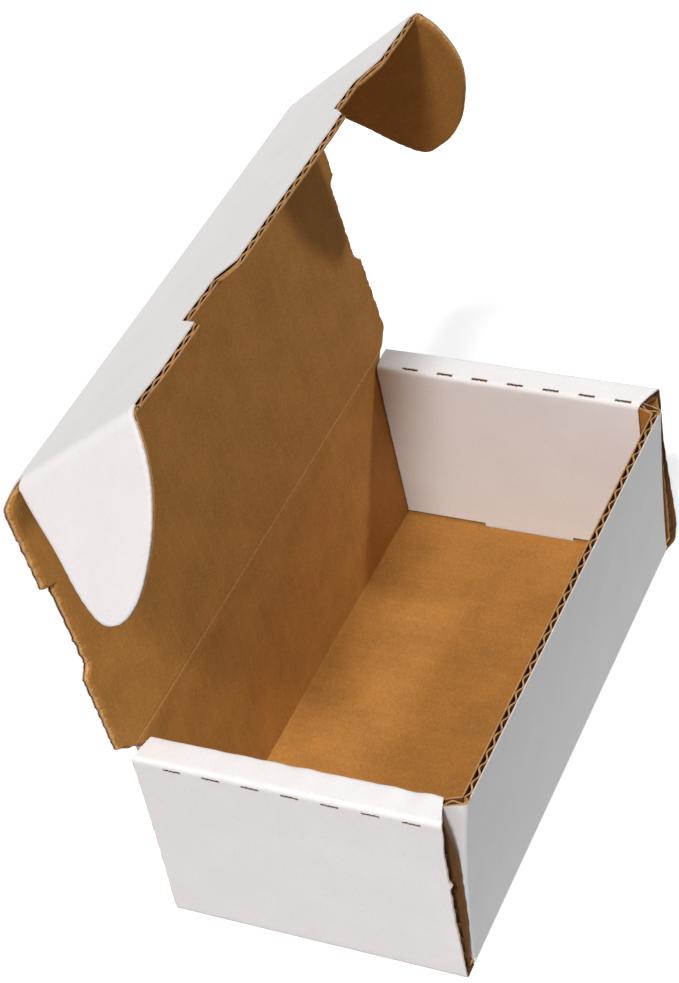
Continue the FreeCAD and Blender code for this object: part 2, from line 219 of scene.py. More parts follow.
def ply(put, across, along, low, high, kept=True, cut=0.05):
    """One closed paper: the surfaces put(across, along, low) and put(across, along, high) over a grid, joined
    by a wall wherever a kept cell has no kept neighbour. Also gives each face's kind (0 low, 1 high, 2 wall),
    and each point's place on the flat sheet and distance from a cut edge."""
    rows, columns = across.shape
    wide = (np.abs(across[1:] - across[:-1]) > 1e-7) | (np.abs(along[1:] - along[:-1]) > 1e-7)
    deep = (np.abs(across[:, 1:] - across[:, :-1]) > 1e-7) | (np.abs(along[:, 1:] - along[:, :-1]) > 1e-7)
    kept = kept & (wide[:, 1:] | wide[:, :-1]) & (deep[1:] | deep[:-1])
    low, high = np.broadcast_to(low, across.shape), np.broadcast_to(high, across.shape)
    points = np.concatenate([put(across, along, low).reshape(-1, 3), put(across, along, high).reshape(-1, 3)])
    count = rows * columns
    number = np.arange(count).reshape(rows, columns)
    a, b, c, d = number[:-1, :-1], number[1:, :-1], number[1:, 1:], number[:-1, 1:]
    faces = [np.stack([d, c, b, a], -1)[kept], np.stack([a, b, c, d], -1)[kept] + count]
    ring = np.pad(kept, 1)
    for first, second, beside in ((a, b, ring[1:-1, :-2]), (b, c, ring[2:, 1:-1]),
                                  (c, d, ring[1:-1, 2:]), (d, a, ring[:-2, 1:-1])):
        bare = kept & ~beside
        faces.append(np.stack([first, second, second + count, first + count], -1)[bare])
    kinds = np.repeat([0, 1, 2, 2, 2, 2], [len(group) for group in faces])
    faces = np.concatenate(faces)
    sheet = np.tile(np.stack([across, along], -1).reshape(-1, 2), (2, 1))
    rim = np.tile(np.broadcast_to(cut, across.shape).reshape(-1), 2)
    corners = points[faces]
    flux = np.einsum("ij,ij->i", corners[:, 0], np.cross(corners[:, 1], corners[:, 2]))
    flux = flux + np.einsum("ij,ij->i", corners[:, 0], np.cross(corners[:, 2], corners[:, 3]))
    if flux.sum() < 0:
        faces = faces[:, ::-1]
    first, same = np.unique(np.round(points, 7), axis=0, return_index=True, return_inverse=True)[1:]
    faces = same.reshape(-1)[faces]
    return points[first], faces, kinds, sheet[first], rim[first]


def glued(name, plies, body):
    """One piece of several papers. Each ply comes with the numbers of its low, high and wall faces' papers.
    Faces with two corners in one place become triangles, or go."""
    points, polygons, marks, flats, sheets, rims, base = [], [], [], [], [], [], 0
    for (spots, faces, kinds, sheet, rim), numbers in plies:
        repeat = faces == np.roll(faces, -1, axis=1)
        spare = repeat.sum(1)
        used, faces_used = np.unique(faces[spare < 2], return_inverse=True)
        faces_used = faces_used.reshape(-1, 4)
        repeat, spare, kinds = repeat[spare < 2], spare[spare < 2], kinds[spare < 2]
        whole, three = faces_used[spare == 0], faces_used[spare == 1][~repeat[spare == 1]].reshape(-1, 3)
        polygons += (whole + base).tolist() + (three + base).tolist()
        order = np.concatenate([kinds[spare == 0], kinds[spare == 1]])
        marks.append(np.array(numbers)[order])
        flats.append(order == 2)
        points.append(spots[used])
        sheets.append(sheet[used])
        rims.append(rim[used])
        base += len(used)
    mesh = bpy.data.meshes.new(name)
    mesh.from_pydata(np.concatenate(points).tolist(), [], polygons)
    mesh.polygons.foreach_set("material_index", np.concatenate(marks).astype(np.int32))
    mesh.polygons.foreach_set("use_smooth", ~np.concatenate(flats))
    corner, border = np.zeros((2, len(mesh.loops)), np.int32)
    sides = np.zeros(len(mesh.polygons), np.int32)
    mesh.loops.foreach_get("vertex_index", corner)
    mesh.loops.foreach_get("edge_index", border)
    mesh.polygons.foreach_get("loop_total", sides)
    crisp = np.zeros(len(mesh.edges), bool)
    crisp[border[np.repeat(np.concatenate(flats), sides)]] = True
    mesh.edges.foreach_set("use_edge_sharp", crisp)
    mesh.uv_layers.new(name="sheet").data.foreach_set("uv", np.concatenate(sheets)[corner].ravel())
    mesh.attributes.new("cut", "FLOAT", "POINT").data.foreach_set("value", np.concatenate(rims))
    for finish in papers:
        mesh.materials.append(finish)
    piece = bpy.data.objects.new(name, mesh)
    scene.collection.objects.link(piece)
    if body:
        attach(piece, body)
    return piece


def fluting(put, across, along, kept=True, low=liner, high=board - liner):
    """The medium: a sine wave of the board's pitch between the liners' inner faces low and high, its paper
    thicker along h on the slopes."""
    paper_half = 0.00028
    tall = np.maximum((high - low) / 2 - 1.3 * paper_half, 0.00002)
    phase = 2 * math.pi * across / flute_pitch
    height = (low + high) / 2 + tall * np.sin(phase)
    half = paper_half * np.sqrt(1 + (tall * 2 * math.pi / flute_pitch * np.cos(phase)) ** 2)
    return ply(put, across, along, height - half, height + half, kept)


def folded_line(outer, inner, bend=0.0022, crease=0.0005, step=0.003, counts=None):
    """Matching lines along the outside and the inside of a folded board. Each corner is a quadratic curve
    that begins and ends bend from it outside and crease from it inside. Also gives the distance along it."""
    outer, inner = np.array(outer, float), np.array(inner, float)
    counts = counts or [max(2, int(np.linalg.norm(run) / step)) for run in np.diff(outer, axis=0)]
    lines = []
    for corners, reach in ((outer, bend), (inner, crease)):
        ways = np.diff(corners, axis=0)
        ways /= np.linalg.norm(ways, axis=1)[:, None]
        line = []
        for index, count in enumerate(counts):
            start = corners[index] + (ways[index] * reach if index else 0)
            end = corners[index + 1] - (ways[index] * reach if index + 1 < len(counts) else 0)
            line.append(start + (end - start) * np.linspace(0, 1, count)[:, None])
            if index + 1 < len(counts):
                t = np.linspace(0, 1, 8)[1:-1, None]
                after = corners[index + 1] + ways[index + 1] * reach
                line.append((1 - t) ** 2 * end + 2 * t * (1 - t) * corners[index + 1] + t * t * after)
        lines.append(np.vstack(line))
    middle = (lines[0] + lines[1]) / 2
    length = np.concatenate([[0], np.cumsum(np.linalg.norm(np.diff(middle, axis=0), axis=1))])
    return lines[0], lines[1], length


back_way = Vector((0, hinge.y - (half_width - board), hinge.z - board)).normalized()
back_out = Vector((0, back_way.z, -back_way.y))
wall_top = hinge - crease_reach * back_way
wall_top_out = wall_top + board * back_out
outer_line, inner_line, wall_run = folded_line(
    [(front_top.y, front_top.z), (-half_width, 0), (half_width, 0), (wall_top_out.y, wall_top_out.z)],
    [(front_top.y + board, front_top.z), (-half_width + board, board), (half_width - board, board),
     (wall_top.y, wall_top.z)])
floor_middle = float(np.interp(0.0, outer_line[:, 0], wall_run))
front_fold = float(wall_run[np.argmin(np.abs(outer_line[:, 0] + half_width) + np.abs(outer_line[:, 1]))])


def between(run, stations, inner, outer, share):
    """The two coordinates of a place along a fold, share of the way from its inside to its outside line."""
    return [np.interp(run, stations, inner[:, axis]) * (1 - share)
            + np.interp(run, stations, outer[:, axis]) * share for axis in (0, 1)]


def wall_place(x, run, h):
    """Between the inside and the outside line of the folded run at h, with the walls bowed a little. The
    front wall's lean grows as the square of the height."""
    y, z = between(run, wall_run, inner_line, outer_line, h / board)
    rise = np.clip(z / front_top.z, 0, 1)
    y = y + (half_width + front_top.y) * (rise * rise - rise) * (run < front_fold)
    high = rise * np.clip((front_top.z + 0.002 - z) / 0.03, 0, 1)
    high = high * np.clip((wall_end - 0.006 - np.abs(x)) / 0.02, 0, 1)
    sway = 0.00025 * ripple(0.09, 5, x, run) * high
    return np.stack([x, y + sway, z], -1)


def wall_limit(run):
    """Half length at each place along the run: the walls stop short of their corners, which go with the dust
    flaps, and the front wall's ends lean in towards its top edge."""
    height = np.interp(run, wall_run, outer_line[:, 1])
    inward = lean_in * np.clip(height / front_top.z, 0, 1) ** 2 * (run < front_fold + 0.001)
    return wall_end - inward - np.interp(height, [corner_low, corner_high], [0, corner_reach])


def wall_grid(step):
    """Stations across the flutes and along the sheet, clipped to the outline, with the cells of the two tab
    slots left out."""
    x = stops(-wall_end, wall_end, step, -slot_far, -slot_near, slot_near, slot_far)
    front, rear = (outer_line[:40, 1][::-1], wall_run[:40][::-1]), (outer_line[-40:, 1], wall_run[-40:])
    corners = [np.interp(height, *line) for line in (front, rear) for height in (corner_low, corner_high)]
    run = np.concatenate([wall_run, corners, [floor_middle - tab_half, floor_middle + tab_half]])
    run = np.unique(np.round(run, 6))
    across, along = np.meshgrid(x, run, indexing="ij")
    limit = wall_limit(along)
    across = np.clip(across, -limit, limit)
    along = along + np.where(along == along[0, 0], 0.00012 * ripple(0.004, 3, across), 0)
    middle_x = np.abs(across[1:, 1:] + across[:-1, :-1]) / 2
    middle_run = np.abs((along[1:, 1:] + along[:-1, :-1]) / 2 - floor_middle)
    kept = ~((middle_x > slot_near) & (middle_x < slot_far) & (middle_run < tab_half))
    return across, along, kept


across, along, kept = wall_grid(0.004)
cut = np.minimum(along - wall_run[0], 0.05)
sunk_across, sunk_along, sunk_kept = wall_grid(0.0008)
sunk_along = np.where(sunk_along < wall_run[0] + 0.0006,
                      wall_run[0] + 0.0003 + 0.0002 * ripple(0.005, 8, sunk_across), sunk_along)
walls_plies = [
    (ply(wall_place, across, along, 0, liner, kept, cut), (1, 3, 2)),
    (fluting(wall_place, sunk_across, sunk_along, sunk_kept), (3, 3, 2)),
    (ply(wall_place, across, along, board - liner, board, kept, cut), (3, 0, 0)),
]


def node_group(name, inputs, outputs):
    """A shader node group and its two ends. An input is a value that starts at a number, or with None a
    vector, and every output is a value."""
    group = bpy.data.node_groups.new(name, "ShaderNodeTree")
    for label, start in inputs.items():
        kind = "NodeSocketVector" if start is None else "NodeSocketFloat"
        socket = group.interface.new_socket(name=label, in_out="INPUT", socket_type=kind)
        if start is not None:
            socket.default_value = start
    for label in outputs:
        group.interface.new_socket(name=label, in_out="OUTPUT", socket_type="NodeSocketFloat")
    return group, group.nodes.new("NodeGroupInput").outputs, group.nodes.new("NodeGroupOutput").inputs


def spread(tree, value, low, high, start=0.0, end=1.0):
    """A clamped Map Range from low..high to start..end."""
    node = tree.nodes.new("ShaderNodeMapRange")
    for index, number in enumerate((low, high, start, end), start=1):
        node.inputs[index].default_value = number
    tree.links.new(value, node.inputs[0])
    return node.outputs[0]


# washboard: how the liner sinks between the glue lines of the flutes, as a height and a soft mask
washboard, start, end = node_group("washboard", {"Sheet": None}, ("Height", "Line"))
split = washboard.nodes.new("ShaderNodeSeparateXYZ")
washboard.links.new(start["Sheet"], split.inputs[0])
drift = noise(washboard, start["Sheet"], (60, 12, 0), 1)
angle = maths(washboard, "MULTIPLY_ADD", split.outputs[0], 2 * math.pi / flute_pitch, drift)
height = maths(washboard, "MULTIPLY_ADD", maths(washboard, "SINE", angle), 0.5, 0.5)
washboard.links.new(height, end["Height"])
washboard.links.new(maths(washboard, "POWER", height, 6.0), end["Line"])

# fibres: long fine light and dark flecks of pulp, lying any way, and broad clouds of the paper's thickness
fibres, start, end = node_group("fibres", {"Sheet": None}, ("Light", "Dark", "Cloud", "Tooth"))
one_way = noise(fibres, start["Sheet"], (420, 2600, 0), 3, 0.6)
other_way = noise(fibres, start["Sheet"], (2300, 560, 0), 3, 0.6)
longer = maths(fibres, "MAXIMUM", one_way, other_way)
fleck = noise(fibres, start["Sheet"], (900, 1300, 0), 2, 0.55)
fibres.links.new(spread(fibres, longer, 0.56, 0.72), end["Light"])
fibres.links.new(spread(fibres, fleck, 0.58, 0.72), end["Dark"])
fibres.links.new(noise(fibres, start["Sheet"], 55, 5, 0.6), end["Cloud"])
fibres.links.new(noise(fibres, start["Sheet"], 1900, 3, 0.65), end["Tooth"])

# rubbed: where the paper is bruised beside a cut edge, from the distance to it and a ragged noise
rubbed, start, end = node_group("rubbed", {"Cut": 0.05, "Sheet": None, "Width": 0.0006}, ("Mask",))
rag = noise(rubbed, start["Sheet"], 700, 4, 0.7)
reach = maths(rubbed, "MULTIPLY", start["Width"], spread(rubbed, rag, 0.35, 0.75, 0.1, 2.2))
near = maths(rubbed, "DIVIDE", start["Cut"], reach)
rubbed.links.new(spread(rubbed, near, 0.6, 1.2, 1.0, 0.0), end["Mask"])


def paper(name, base, light, dark, cloud, bruise, width, roughness, wash, tooth):
    """A paper's finish: base colour with lighter and darker clouds, light and dark fibres, the washboard's
    faint lines and a bruised colour along its cut edges; the washboard and the tooth are its relief."""
    finish = bpy.data.materials.new(name)
    finish.use_nodes = True
    tree = finish.node_tree
    shader = tree.nodes["Principled BSDF"]
    sheet = tree.nodes.new("ShaderNodeUVMap")
    sheet.uv_map = "sheet"
    given = {}
    for group in (washboard, fibres, rubbed):
        node = tree.nodes.new("ShaderNodeGroup")
        node.node_tree = group
        tree.links.new(sheet.outputs[0], node.inputs["Sheet"])
        given.update(node.outputs.items())
    rim = tree.nodes.new("ShaderNodeAttribute")
    rim.attribute_name = "cut"
    tree.links.new(rim.outputs["Fac"], node.inputs["Cut"])
    node.inputs["Width"].default_value = width
    ramp = tree.nodes.new("ShaderNodeValToRGB")
    for element, position, change in zip(ramp.color_ramp.elements, (0.3, 0.7), (-cloud, cloud)):
        element.position = position
        element.color = (*[value * (1 + change) for value in base], 1)
    tree.links.new(given["Cloud"], ramp.inputs["Fac"])
    colour = ramp.outputs["Color"]
    for mask, amount, over in (("Light", light[3], light[:3]), ("Dark", dark[3], dark[:3]),
                               ("Line", wash[1], light[:3]), ("Mask", bruise[3], bruise[:3])):
        mix = tree.nodes.new("ShaderNodeMix")
        mix.data_type = "RGBA"
        mix.inputs[7].default_value = (*over, 1)
        tree.links.new(maths(tree, "MULTIPLY", given[mask], amount), mix.inputs["Factor"])
        tree.links.new(colour, mix.inputs[6])
        colour = mix.outputs[2]
    tree.links.new(colour, shader.inputs["Base Color"])
    uneven = spread(tree, given["Tooth"], 0.3, 0.7, roughness - 0.06, roughness + 0.06)
    tree.links.new(uneven, shader.inputs["Roughness"])
    shader.inputs["Specular IOR Level"].default_value = 0.25
    relief = maths(tree, "MULTIPLY", given["Height"], wash[0])
    relief = maths(tree, "MULTIPLY_ADD", given["Tooth"], tooth, relief)
    bump = tree.nodes.new("ShaderNodeBump")
    bump.inputs["Strength"].default_value = 1.0
    bump.inputs["Distance"].default_value = 1.0
    tree.links.new(relief, bump.inputs["Height"])
    tree.links.new(bump.outputs["Normal"], shader.inputs["Normal"])
    return finish


# the plies number these 0 white, 1 kraft, 2 cut edge, 3 fluted medium, coloured darker than the kraft as
# painted shade
papers = (
    paper("white_liner", (0.83, 0.825, 0.825), light=(0.90, 0.90, 0.90, 0.35), dark=(0.60, 0.56, 0.54, 0.25),
          cloud=0.022, bruise=(0.52, 0.38, 0.27, 0.6), width=0.00022, roughness=0.62,
          wash=(0.000012, 0.03), tooth=0.000012),
    paper("kraft_liner", (0.41, 0.178, 0.036), light=(0.66, 0.36, 0.12, 0.42), dark=(0.17, 0.065, 0.015, 0.5),
          cloud=0.14, bruise=(0.66, 0.39, 0.17, 0.75), width=0.0005, roughness=0.80,
          wash=(0.000016, 0.05), tooth=0.000026),
    paper("raw_edge", (0.42, 0.22, 0.085), light=(0.66, 0.42, 0.22, 0.6), dark=(0.14, 0.06, 0.02, 0.5),
          cloud=0.25, bruise=(0.42, 0.22, 0.085, 0.0), width=0.0003, roughness=0.9,
          wash=(0.0, 0.0), tooth=0.00005),
    # the fluted medium's own brown is darkened well below the kraft as painted shade, for the open flute
    # cells, the slits and the gaps between the liners
    paper("fluted_medium_painted_shade", (0.15, 0.064, 0.020), light=(0.24, 0.11, 0.04, 0.4),
          dark=(0.07, 0.028, 0.008, 0.4), cloud=0.12, bruise=(0.15, 0.064, 0.020, 0.0), width=0.0003,
          roughness=0.88, wash=(0.0, 0.0), tooth=0.00003),
)
walls = glued("walls_and_floor", walls_plies, "tray")
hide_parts("tray")


# ------------------------------ rolled ends with their locking tabs
# Each end panel rises from the floor, turns over at the top and goes down again inside, so the white face
# shows on both sides. Two rows of seven slits through the white face let it roll, and a tab holds it in the
# floor, with the panel's shoulders a little above the floor beside it.
end_half = 0.0502
inner_half = 0.0473
outer_face, inner_back, inner_face = half_length, 0.0952, 0.0924
tab_reach, tab_foot = 0.017, 0.0004
end_outer, end_inner, end_run = folded_line(
    [(wall_end, 0), (outer_face, 0), (outer_face, roll_top), (inner_face, roll_top), (inner_face, tab_foot)],
    [(wall_end, board), (outer_face - board, board), (outer_face - board, roll_top - board),
     (inner_back, roll_top - board), (inner_back, tab_foot)], bend=0.0020, crease=0.0006)
panel_low = end_run[np.argmin(np.abs(end_outer[:, 0] - outer_face) + np.abs(end_outer[:, 1] - 0.006))]
slit_first = float(end_run[np.argmin(np.abs(end_outer - (outer_face, roll_top)).sum(1))])
slit_second = float(end_run[np.argmin(np.abs(end_outer - (inner_face, roll_top)).sum(1))])
tab_start = float(end_run[-1]) - 0.0035
slit_middles = np.linspace(-0.0396, 0.0396, 7) - 0.0008
slit_half, slit_width = 0.0029, 0.0006
slit_setback = 0.0009
nick_down, nick_reach = 0.026, 0.001


def end_limits(run, torn, sign):
    """Front and back limits: the outer panel grows a little towards its top at the back, and the strip over
    the top narrows to the inner panel's width. The left end's front edge is torn back halfway up, by torn
    times a millimetre; the right end's has sprung forward low down, less so by torn times a millimetre."""
    front = np.interp(run, [0, slit_first - 0.0005, slit_second + 0.001, end_run[-1]],
                      [-end_half, -end_half, -inner_half + 0.0012, -inner_half])
    if sign < 0:
        heights = [slit_first - down for down in (0.064, 0.042, 0.012, 0.003)]
        half_way = np.interp(run, heights, [0, 1, 1, 0])
        nick = 0.0009 * max(torn, 0) * np.exp(-((run - slit_first + nick_down) / nick_reach) ** 2)
        front = front + 0.0010 * torn * half_way - nick
    else:
        sprung = np.interp(run, [0, 0.006, 0.012, 0.050], [0, 0.7, 1, 0])
        front = front + (0.0010 * torn - 0.0024) * sprung
    rear = np.interp(run, [0, panel_low, slit_first - 0.0005, slit_second + 0.001, end_run[-1]],
                     [end_half, end_half + 0.0004, end_half + 0.0020, inner_half + 0.0038, inner_half])
    return front, rear


def end_grid(step_run, step_y, slits, torn, sign):
    """Stations along the rolled run and along the crease, clipped to the outline, with the cells beside the
    tab and, on the white face, inside the slits left out."""
    first_low = slit_first - slit_setback - slit_width
    second_low = slit_second + (0.0001 if sign < 0 else -0.0010)
    beside_nick = stops(slit_first - nick_down - 0.006, slit_first - nick_down + 0.004, 0.0008)
    rows = [end_run, [tab_start], stops(0, end_run[-1], step_run), beside_nick]
    for low in (first_low, second_low):
        rows.append([low - 0.0005, low, low + slit_width, low + slit_width + 0.0005])
    rows = np.concatenate(rows)
    edges = [[-tab_reach, tab_reach]]
    if slits:
        shares = (-1.17, -1, -0.75, -0.5, -0.25, 0, 0.25, 0.5, 0.75, 1, 1.17)
        edges += [slit_middles + slit_half * share for share in shares]
    y = stops(-end_half - 0.003, end_half + 0.003, step_y, *np.concatenate(edges))
    along, across = np.meshgrid(np.unique(np.round(rows, 6)), y, indexing="ij")
    front, rear = end_limits(along, torn, sign)
    fray = 0.00012 * ripple(0.005, 12, along)
    middle_run = (along[1:, 1:] + along[:-1, :-1]) / 2
    middle_y = (across[1:, 1:] + across[:-1, :-1]) / 2
    across = np.clip(across, front + fray, rear + fray)
    kept = (middle_run < tab_start) | (np.abs(middle_y) < tab_reach)
    rim = np.minimum(across - front, rear - across)
    if slits:
        aside, middle_aside = (np.abs(y[..., None] - slit_middles).min(-1) for y in (across, middle_y))
        ragged = (aside < 0.9 * slit_half) * 0.00022 * ripple(0.0016, 14, across)
        for edge in (first_low, first_low + slit_width, second_low, second_low + slit_width):
            along = along + np.where(np.abs(along - edge) < 1e-6, ragged, 0)
        for low in (first_low, second_low):
            kept &= ~((middle_aside < slit_half) & (middle_run > low) & (middle_run < low + slit_width))
            above = np.maximum(low - along, along - low - slit_width)
            rim = np.minimum(rim, np.maximum(np.maximum(aside - slit_half, above), 0))
    return along, across, kept, rim


def end_place(sign):
    """The rolled run's x and z between its inside and outside line at h, at one end of the box. At the left
    end the outer panel's inside paper has peeled away towards its front edge, most at half height, and the
    strip over the top sags unevenly towards its inner crease."""
    def put(run, y, h):
        share = h / board
        x, z = between(run, end_run, end_inner, end_outer, share)
        loose = np.clip(z / 0.03, 0, 1) * np.clip((roll_top - z) / 0.02, 0, 1)
        sway = 0.0002 * ripple(0.07, 21 + sign, run, y) * loose
        tall = np.clip(z / 0.02, 0, 1) * np.clip((roll_top - 0.003 - z) / 0.018, 0, 1) * (run < slit_first)
        towards_front = np.clip(1 - (y + end_half) / 0.010, 0, 1) ** 2
        peel = (0.0034 if sign < 0 else 0) * towards_front * tall * (1 - share)
        across_top = np.clip((outer_face - x) / (outer_face - inner_face), 0, 1) * np.clip(z / roll_top, 0, 1)
        uneven = 0.00028 * ripple(0.012, 33, y)
        sink = 0.0004 + 0.0010 * (y + inner_half) / (2 * inner_half) + uneven
        z = z - sink * across_top * (sign < 0)
        return np.stack([sign * (x + sway - 0.0002 * loose - peel), y, z], -1)
    return put


for end_name, sign in (("left_rolled_end", -1), ("right_rolled_end", 1)):
    plies = []
    torn_inside, torn_between, torn_outside = (-0.4, 1.3, 1.0) if sign < 0 else (2.0, 0.8, 0.0)
    for low, high, slits, torn, kinds in ((0, liner, False, torn_inside, (1, 3, 3)),
                                          (board - liner, board, True, torn_outside, (3, 0, 0))):
        along, across, kept, rim = end_grid(0.004, 0.0025, slits, torn, sign)
        plies.append((ply(end_place(sign), along, across, low, high, kept, rim), kinds))
    along, across, kept, rim = end_grid(0.0008, 0.003, False, torn_between, sign)
    front, rear = end_limits(along, torn_between, sign)
    fray = 0.0002 * ripple(0.005, 12, along)
    across = np.clip(across, front + 0.0007 + fray, rear - 0.0006 - fray)
    plies.append((fluting(end_place(sign), along, across, kept), (3, 3, 3)))
    glued(end_name, plies, "tray")


# ------------------------------ dust flaps
# Four flaps folded in from the ends of the front and back walls, standing between the two layers of each
# rolled end. The front ones lean out of line at their top corners, where the front wall springs forward.
dust_low, dust_high = board + 0.0006, roll_top - board - 0.0014
dust_free, dust_settle = 0.0065, 0.013
foot_stops = [0.0032, 0.0034]


def dust_line(height, at_front):
    """Outside and inside lines, seen from above, of the flap and the last bit of its wall at one height. The
    flap settles into the plane of the wall's end dust_settle from its corner."""
    way = -1 if at_front else 1
    if at_front:
        share = height / front_top.z
        corner = (wall_end - lean_in * share, -half_width + (front_top.y + half_width) * share)
    else:
        corner = (wall_end, half_width + (wall_top_out.y - half_width) * height / wall_top_out.z)
    settle = corner[1] - way * dust_settle
    start, inside = corner[0] - corner_reach, corner[1] - way * board
    outer = [(start, corner[1]), corner, (wall_end, settle), (wall_end, way * dust_free)]
    inner = [(start, inside), (corner[0] - board, inside), (wall_end - board, settle),
             (wall_end - board, way * dust_free)]
    return folded_line(outer, inner, bend=0.0012, crease=0.0001, counts=[3, 5, 8])


def dust_place(sign, at_front):
    """A flap's surface, between its line at the floor and its line at the top of the wall; the front flaps
    leave the first as the square of the height, as their wall does."""
    foot, head = dust_line(0.0, at_front), dust_line(front_top.z, at_front)

    def put(run, z, h):
        share, rise = h / board, z / front_top.z
        rise = rise * rise if at_front else rise
        spot = 0
        for line, weight in ((foot, 1 - rise), (head, rise)):
            for index, part in ((0, share), (1, 1 - share)):
                both = [np.interp(run, foot[2], line[index][:, axis]) for axis in (0, 1)]
                spot = spot + np.stack(both, -1) * (weight * part)[..., None]
        return np.stack([sign * spot[..., 0], spot[..., 1], z], -1)
    return put, foot[2]


for at_front, wall_name in ((True, "front"), (False, "back")):
    drop_start, drop_end = (0.0085, 0.0095) if at_front else (0.0040, 0.0062)
    peak = front_top.z if at_front else wall_top.z
    for sign, end_name in ((-1, "left"), (1, "right")):
        put, length = dust_place(sign, at_front)
        plies = []
        for step, low, high, kinds in ((0.003, 0, liner, (1, 3, 2)), (0.003, board - liner, board, (3, 0, 2)),
                                       (0.0008, None, None, (3, 3, 2))):
            runs = stops(0, length[-1], step, *length, *foot_stops, drop_start, drop_end)
            run, z = np.meshgrid(runs, stops(0.0022, peak, 0.006, corner_high), indexing="ij")
            top_edge = np.interp(run, [0, drop_start, drop_end], [peak, peak - 0.0003, dust_high])
            low_edge = np.interp(run, foot_stops, [corner_low, dust_low])
            fray = 0.0001 * ripple(0.005, 30, run)
            inset = 0.0005 if high is None else 0
            z = np.clip(z, low_edge + inset, top_edge + fray - inset)
            if high is None:
                plies.append((fluting(put, run, z), kinds))
            else:
                rim = np.minimum(top_edge - z, length[-1] - run)
                plies.append((ply(put, run, z, low, high, cut=rim), kinds))
        glued("%s_%s_dust_flap" % (wall_name, end_name), plies, "tray")


# ------------------------------ lid
# A flat panel hinged on the back wall's crease. It overhangs both ends, with a shallow finger recess in each
# short side, and narrows to a root at the crease. Its cut sides are crushed thin where the die pressed them.
fold = Vector(joints["tuck_flap_hinge"]["pos_m"])
lid_depth = (fold - hinge).length
lid_start, lid_end = crease_reach, lid_depth - crease_reach
lid_way = (fold - hinge).normalized()
lid_out = Vector((0, lid_way.z, -lid_way.y))
lid_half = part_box("lid")[1].x
root_half, root_end, flare_end = 0.103, 0.0014, 0.0048
recess, recess_stops = 0.0034, [0.034, 0.0375, 0.0682, 0.07]
lid_corner, lid_corner_half = 0.002, 0.1013


def flat_place(origin, across_way, along_way, out_way, bow, seed, calm):
    """A flat board: origin plus the three ways times across, along and h, bowed inwards along h by a soft
    ripple that calm(across, along) fades to nothing beside the creases."""
    origin, across_way, along_way, out_way = (
        np.array(item[:]) for item in (origin, across_way, along_way, out_way))

    def put(across, along, h):
        soft = np.clip(calm(across, along) / 0.018, 0, 1)
        soft = soft * soft * (3 - 2 * soft)
        h = h - bow * soft * (1 - ripple(0.11, seed, across, along))
        return (origin + across[..., None] * across_way + along[..., None] * along_way
                + np.asarray(h)[..., None] * out_way)
    return put


def edged(stations, low, high, insets=(0.0, 0.0004, 0.0009, 0.0018), sides=(True, True)):
    """Stations between the limits low and high, with more at set distances inside each limit whose side is
    true."""
    insets = np.array(insets)[:, None] * np.clip((high - low) / 0.0045, 0, 1)
    start = low + (insets[-1] if sides[0] else 0)
    end = high - (insets[-1] if sides[1] else 0)
    middle = [np.clip(stations[:, None], start, end)]
    return np.vstack([low + insets] * sides[0] + middle + [high - insets[::-1]] * sides[1])


def crush(distance, depth, reach=0.0018):
    """How far a die-cut edge is pressed in: depth at the edge, falling as a square to nothing at reach."""
    return depth * (1 - np.clip(distance / reach, 0, 1)) ** 2


def crushed_board(put, across, along, rim, inner, outer, flute_grid):
    """Both liners, pressed towards each other near the cut edge by inner and outer, and the medium between
    them. flute_grid gives the medium's two coordinates and its distance from the edge."""
    low, high = crush(rim, inner), crush(rim, outer)
    plies = [(ply(put, across, along, low, low + liner, cut=rim), (1, 3, 2)),
             (ply(put, across, along, board - liner - high, board - high, cut=rim), (3, 0, 0))]
    across, along, rim = flute_grid
    low, high = liner + crush(rim, inner), board - liner - crush(rim, outer)
    return plies + [(fluting(put, across, along, True, low, high), (3, 3, 2))]


def lid_limits(v):
    """Left and right limit at each distance from the crease: root, flare, straight, finger recess, straight
    and the corner beside the tuck flap. Their raw edges are ragged by two ripples each."""
    corners = [0.0, root_end, flare_end, *recess_stops, lid_depth - lid_corner, lid_depth]
    widths = [root_half, root_half, lid_half, lid_half, lid_half - recess, lid_half - recess, lid_half,
              lid_half, lid_corner_half]
    reach = np.interp(v, corners, widths)
    calm = np.clip(np.minimum(v - lid_start, lid_end - v) / 0.004, 0, 1)
    left_rag, right_rag = (
        (0.00022 * ripple(coarse, seed, v) + 0.00018 * ripple(fine, seed + 1, v)) * calm
        for coarse, fine, seed in ((0.006, 0.0022, 41), (0.007, 0.0024, 43)))
    return -reach + 0.0003 + left_rag, reach - 0.0003 + right_rag


lid_place = flat_place(hinge, Vector((1, 0, 0)), lid_way, lid_out, 0.0002, 2,
                       lambda x, v: np.minimum(v - lid_start, lid_end - v))
v_stops = stops(lid_start, lid_end, 0.001, flare_end, *recess_stops, lid_depth - lid_corner)
left, right = lid_limits(v_stops)
x = edged(stops(-lid_half, lid_half, 0.004), left, right)
v = np.broadcast_to(v_stops, x.shape)
flute_stops = stops(lid_start, lid_end, 0.003, flare_end, *recess_stops)
flute_left, flute_right = lid_limits(flute_stops)
flute_x = edged(stops(-lid_half, lid_half, 0.0008), flute_left + 0.0004, flute_right - 0.0004,
                (0, 0.0005, 0.0014))
flute_rim = np.minimum(flute_x - flute_left, flute_right - flute_x)
lid_plies = crushed_board(lid_place, x, v, np.minimum(x - left, right - x), 0.0012, 0.0003,
                          (flute_x, np.broadcast_to(flute_stops, flute_x.shape), flute_rim))
lid = glued("lid_panel", lid_plies, "lid")
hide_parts("lid")


